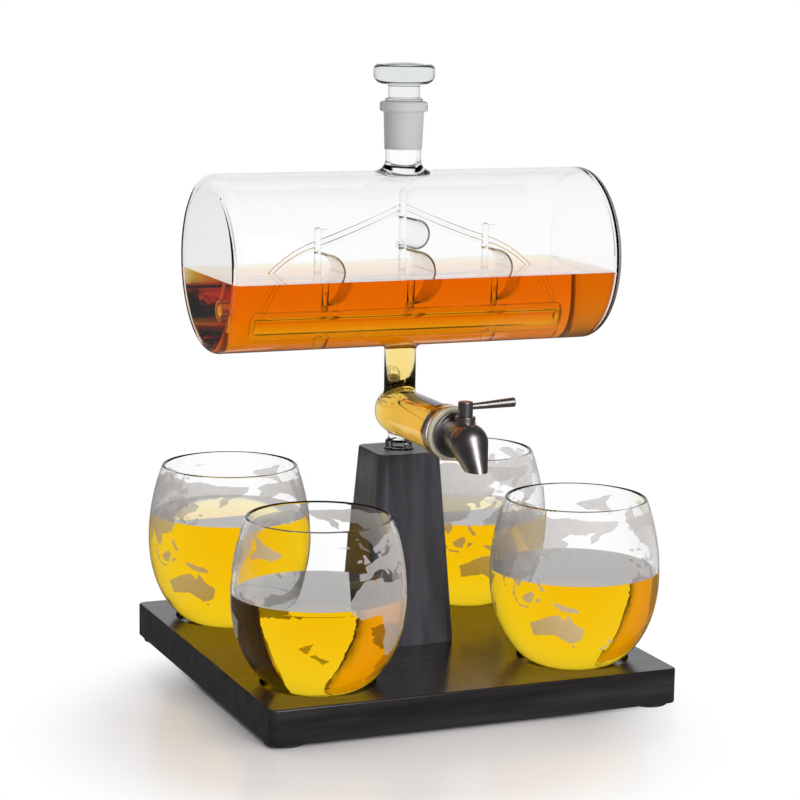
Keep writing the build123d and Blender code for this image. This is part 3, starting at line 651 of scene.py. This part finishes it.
def glass_drink(level):
    """Drink in a glass that stands on height zero."""
    low = GLASS_BOTTOM
    wall = []
    for step in range(1, 2 * CURVE_STEPS + 1):
        share = (step / (2 * CURVE_STEPS)) ** 2
        height = low + (level - low) * share
        wall.append((glass_inside(height), height))
    floor = low - OVERLAP
    return lathe("glass_drink", [(0, floor), (GLASS_FOOT_RADIUS, floor), *wall, (0, level)])


# Maps


def glass_outside(height):
    """Outer radius of a glass at a height above its foot."""
    if height < GLASS_BELLY_HEIGHT:
        share = (GLASS_BELLY_HEIGHT - height) / GLASS_BELLY_HEIGHT
        return GLASS_FOOT_RADIUS + (GLASS_BELLY_RADIUS - GLASS_FOOT_RADIUS) * math.sqrt(1 - share**2)
    rise = height - GLASS_BELLY_HEIGHT
    return GLASS_BELLY_RADIUS - GLASS_SWEEP_RADIUS + math.sqrt(GLASS_SWEEP_RADIUS**2 - rise**2)


def coast(outline):
    """Outline with its runs broken into short uneven steps, the same at each run of the script."""
    points = []
    for start, end in zip(outline, outline[1:] + outline[:1]):
        start = Vector(start)
        run = Vector(end) - start
        steps = max(1, round(run.length / COAST_STEP))
        across = Vector((-run.y, run.x)).normalized()
        for step in range(steps):
            point = start + run * step / steps
            sway = noise.noise((point.x, point.y, COAST_NOISE_LAYER)) * COAST_STEP * COAST_ROUGHNESS_SHARE
            points.append(point + across * sway)
    return points


def old_world_place(longitude):
    """Longitude on the glass of a place from Africa to the Pacific."""
    if longitude < OLD_WORLD_EAST:
        return longitude + OLD_WORLD_SHIFT
    if longitude < FAR_EAST_START:
        share = (longitude - OLD_WORLD_EAST) / (FAR_EAST_START - OLD_WORLD_EAST)
        west = OLD_WORLD_EAST + OLD_WORLD_SHIFT
        return west + share * (FAR_EAST_START - west)
    return longitude


def all_land():
    """Outlines of all land, at their places on the glass."""
    land = list(GREENLAND)
    land += [[(x + NORTH_AMERICA_SHIFT, y) for x, y in outline] for outline in NORTH_AMERICA]
    land += [[(x + SOUTH_AMERICA_SHIFT, y) for x, y in outline] for outline in SOUTH_AMERICA]
    land += [[(old_world_place(x), y) for x, y in outline] for outline in OLD_WORLD]
    return land


def world_map():
    """Frosted land on the outside of a glass, with longitude zero towards +X."""
    verts = []
    faces = []
    for outline in all_land():
        line = coast(outline)
        count = len(line)
        west = min(p.x for p in line)
        south = min(p.y for p in line)
        columns = int((max(p.x for p in line) - west) / MAP_GRID)
        rows = int((max(p.y for p in line) - south) / MAP_GRID)
        grid = []
        for column in range(1, columns + 1):
            for row in range(1, rows + 1):
                grid.append(Vector((west + column * MAP_GRID, south + row * MAP_GRID)))
        edges = [(k, (k + 1) % count) for k in range(count)]
        ring = [list(range(count))]
        filled = geometry.delaunay_2d_cdt(line + grid, edges, ring, TRIANGLES_INSIDE, MAP_WELD)
        flat = filled[0]
        triangles = filled[2]
        start = len(verts)
        for point in flat:
            height = EQUATOR_HEIGHT + DEGREE_RISE * min(point.y, NORTH_LIMIT) - GLASS_FLOOR
            radius = glass_outside(height) + MAP_LIFT
            angle = math.radians(point.x)
            verts.append((radius * math.cos(angle), radius * math.sin(angle), height))
        faces += [tuple(start + k for k in triangle) for triangle in triangles]
    mesh = bpy.data.meshes.new("world_map")
    mesh.from_pydata(verts, [], faces)
    mesh.shade_smooth()
    return mesh


def glass_place(corner):
    """Middle of a glass on its recess floor, found from its CAD node."""
    low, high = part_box(f"glass_{corner}")
    return Vector(((low.x + high.x) / 2, (low.y + high.y) / 2, GLASS_FLOOR))


# Studio


def mirror_rays(tree, path):
    """One for rays that were mirrored on their way, and zero for those that only came through glass."""
    turned_back = calculate(tree, "GREATER_THAN", path.outputs["Glossy Depth"], ANY_MIRROR)
    return calculate(tree, "MULTIPLY", turned_back, path.outputs["Is Glossy Ray"])


def towards_back(tree, output):
    """How far a place or direction lies towards the back of the studio, level with the floor."""
    yaw = math.radians(CAMERA_YAW)
    place = tree.nodes.new("ShaderNodeTexCoord")
    along = tree.nodes.new("ShaderNodeVectorMath")
    along.operation = "DOT_PRODUCT"
    along.inputs[1].default_value = (math.sin(yaw), math.cos(yaw), 0.0)
    tree.links.new(place.outputs[output], along.inputs[0])
    return along.outputs["Value"]


def inverse(tree, source):
    """One less a source."""
    return calculate(tree, "SUBTRACT", 1.0, source)


def set_world():
    """White where the camera looks at it. Reflections and glass see a bright back and dimmer sides."""
    world = bpy.data.worlds.new("studio")
    world.use_nodes = True
    tree = world.node_tree
    path = tree.nodes.new("ShaderNodeLightPath")
    towards = towards_back(tree, "Generated")
    passed = path.outputs["Is Transmission Ray"]
    mirrored = mirror_rays(tree, path)
    straight = calculate(tree, "MULTIPLY", passed, inverse(tree, mirrored))
    turned = calculate(tree, "MULTIPLY", passed, mirrored)
    outer = calculate(tree, "MULTIPLY", mirrored, inverse(tree, passed))
    refracted = calculate(tree, "MULTIPLY", spread(tree, towards, *SEEN_THROUGH), straight)
    returned = calculate(tree, "MULTIPLY", spread(tree, towards, *SEEN_TURNED), turned)
    reflected = calculate(tree, "MULTIPLY", spread(tree, towards, *SEEN_MIRRORED), outer)
    reflected = calculate(tree, "MAXIMUM", reflected, returned)
    seen = calculate(tree, "MAXIMUM", reflected, refracted)
    seen = calculate(tree, "MAXIMUM", seen, path.outputs["Is Camera Ray"])
    diffuse = calculate(tree, "MULTIPLY", path.outputs["Is Diffuse Ray"], ROOM_LIGHT)
    strength = calculate(tree, "MAXIMUM", seen, diffuse)
    tree.links.new(strength, tree.nodes["Background"].inputs["Strength"])
    set_values(tree.nodes["Background"], Color=WHITE)
    bpy.context.scene.world = world


def set_floor():
    """Pale floor that fades into the white background away from the object, and is dim in mirrored light."""
    mesh = plain_rod("floor", FLOOR_RADIUS, -FLOOR_THICKNESS, 0.0)
    material, tree, surface = shader("floor")
    set_values(surface, Roughness=FLOOR_ROUGHNESS, Specular_IOR_Level=FLOOR_GLOSS)
    mottle = pattern(tree, EVEN, FLOOR_MOTTLE)
    colour = ramp(tree, mottle, PATTERN_LOW, PATTERN_HIGH, FLOOR_DARK, FLOOR_LIGHT)
    tree.links.new(colour, surface.inputs["Base Color"])
    place = tree.nodes.new("ShaderNodeTexCoord")
    distance = tree.nodes.new("ShaderNodeVectorMath")
    distance.operation = "DISTANCE"
    distance.inputs[1].default_value = SHADOW_MIDDLE
    tree.links.new(place.outputs["Object"], distance.inputs[0])
    far = spread(tree, distance.outputs["Value"], SHADOW_FULL, SHADOW_END, 0.0, 1.0)
    path = tree.nodes.new("ShaderNodeLightPath")
    mirrored = mirror_rays(tree, path)
    passed = path.outputs["Is Transmission Ray"]
    seen = calculate(tree, "MAXIMUM", path.outputs["Is Camera Ray"], passed)
    white = tree.nodes.new("ShaderNodeEmission")
    inside = calculate(tree, "MULTIPLY", spread(tree, towards_back(tree, "Object"), *FLOOR_DIMMING), passed)
    outside = calculate(tree, "MULTIPLY", inverse(tree, passed), FLOOR_MIRROR_DIMMING)
    dimming = calculate(tree, "MAXIMUM", inside, outside)
    tree.links.new(inverse(tree, calculate(tree, "MULTIPLY", mirrored, dimming)), white.inputs["Strength"])
    mix = tree.nodes.new("ShaderNodeMixShader")
    shown = calculate(tree, "MAXIMUM", calculate(tree, "MULTIPLY", far, seen), mirrored)
    tree.links.new(shown, mix.inputs["Fac"])
    tree.links.new(surface.outputs[0], mix.inputs[1])
    tree.links.new(white.outputs[0], mix.inputs[2])
    tree.links.new(mix.outputs[0], tree.nodes["Material Output"].inputs["Surface"])
    mesh.materials.append(material)
    floor = bpy.data.objects.new("floor", mesh)
    bpy.context.scene.collection.objects.link(floor)


def set_lamp(name, place, aim, width, height, power, mirrored):
    """Soft box that shines from a place towards a point, and shows in outer reflections or not."""
    data = bpy.data.lights.new(name, "AREA")
    data.shape = "RECTANGLE"
    data.size = width
    data.size_y = height
    data.energy = power
    lamp = bpy.data.objects.new(name, data)
    lamp.location = place
    lamp.rotation_euler = (Vector(aim) - Vector(place)).to_track_quat("-Z", "Y").to_euler()
    lamp.visible_camera = False
    lamp.visible_glossy = mirrored
    lamp.visible_transmission = False
    bpy.context.scene.collection.objects.link(lamp)


def set_camera():
    """Camera where the photograph was taken from."""
    yaw = math.radians(CAMERA_YAW)
    pitch = math.radians(CAMERA_PITCH)
    roll = math.radians(CAMERA_ROLL)
    forward = Vector((math.sin(yaw) * math.cos(pitch), math.cos(yaw) * math.cos(pitch), -math.sin(pitch)))
    level = Vector((math.cos(yaw), -math.sin(yaw), 0))
    upright = level.cross(forward)
    right = level * math.cos(roll) + upright * math.sin(roll)
    up = upright * math.cos(roll) - level * math.sin(roll)
    data = bpy.data.cameras.new("camera")
    data.lens = FOCAL_PIXELS * data.sensor_width / FRAME_PIXELS
    camera = bpy.data.objects.new("camera", data)
    turn = Matrix((right, up, -forward)).transposed().to_4x4()
    camera.matrix_world = Matrix.Translation(CAMERA_PLACE) @ turn
    bpy.context.scene.collection.objects.link(camera)
    bpy.context.scene.camera = camera


# Finishes of the CAD nodes

CORNERS = list(GLASS_LEVELS)
tray_grain = (GRAIN_ALONG, GRAIN_ACROSS, GRAIN_ACROSS)
post_grain = (GRAIN_ACROSS, GRAIN_ACROSS, GRAIN_ALONG)
paint(wood("tray_wood", tray_grain, 0.2, (0.014, 0.012, 0.013), (0.036, 0.032, 0.035)), "tray")
paint(wood("post_wood", post_grain, 0.34, (0.04, 0.04, 0.048), (0.09, 0.088, 0.105)), "post")
foot_rubber = rubber("foot_rubber", (0.02, 0.02, 0.02), (0.035, 0.035, 0.035), 0.7)
paint(foot_rubber, *[f"foot_{c}" for c in CORNERS])
paint(steel("screw_steel", (0.6, 0.6, 0.61), 0.3), "post_screws")
paint(clear_glass("clear_pad", 20.0, 0.02), "post_pad")
paint(clear_glass("tumbler_glass", 8.0, 0.02), *[f"glass_{c}" for c in CORNERS])
vessel_glass = clear_glass("decanter_glass", 5.0, 0.05, (JOINT_FOOT - GROUND_EDGE, JOINT_FOOT + GROUND_EDGE))
paint(vessel_glass, *VESSEL)
paint(clear_glass("stopper_glass", 20.0, 0.03, (LIP_TOP + GROUND_EDGE, LIP_TOP - GROUND_EDGE)), "stopper")
paint(clear_glass("ship_glass", 12.0, 0.05, bend=1.3, haze=0.08), "ship_hull", *SHIP_ON_HULL)
paint(clear_glass("sail_glass", 60.0, 0.05, bend=1.15, haze=0.2), "ship_sails")
paint(rubber("seal_silicone", (0.56, 0.5, 0.38), (0.66, 0.6, 0.47), 0.35), "front_seal")
paint(rubber("bung_rubber", (0.06, 0.06, 0.06), (0.1, 0.1, 0.1), 0.6), "bung")
paint(rubber("ring_rubber", (0.02, 0.02, 0.02), (0.04, 0.04, 0.04), 0.6), "valve_rings")
paint(steel("inner_steel", (0.62, 0.62, 0.63), 0.25), "shank_washer", "shank_nut", "valve_plug", "set_screw")
paint(steel("tap_steel", (0.4, 0.38, 0.37), 0.33), "tap_body", "bonnet", "lever_hub", "lever_rod")

# Decanter, drink and maps

vessel = new_piece("decanter", fused("decanter", VESSEL), vessel_glass, "decanter")
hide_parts(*VESSEL)
spirit = drink("barrel_spirit", BARREL_SPIRIT, BARREL_SPIRIT_DENSITY)
new_piece("barrel_drink", barrel_drink(), spirit, "decanter")
poured = drink("glass_spirit", GLASS_SPIRIT, GLASS_SPIRIT_DENSITY)
frosted = frost("map_frost")
land = world_map()
for corner, level in GLASS_LEVELS.items():
    middle = glass_place(corner)
    body = f"glass_{corner}"
    filling = glass_drink(level - GLASS_FLOOR)
    smooth(filling)
    filling.transform(Matrix.Translation(middle))
    new_piece(f"drink_{corner}", filling, poured, body)
    turn = math.radians(CAMERA_SIDE - FACING_LONGITUDES[corner])
    picture = land.copy()
    picture.transform(Matrix.Translation(middle) @ Matrix.Rotation(turn, 4, "Z"))
    new_piece(f"map_{corner}", picture, frosted, body)

# Studio

set_world()
set_floor()
for lamp_name, settings in LAMPS.items():
    set_lamp(lamp_name, *settings)
set_camera()
scene = bpy.context.scene
scene.view_settings.view_transform = "Standard"
scene.cycles.max_bounces = MOST_BOUNCES
scene.cycles.transmission_bounces = MOST_TRANSMISSIONS
scene.cycles.transparent_max_bounces = MOST_CLEAR_STEPS
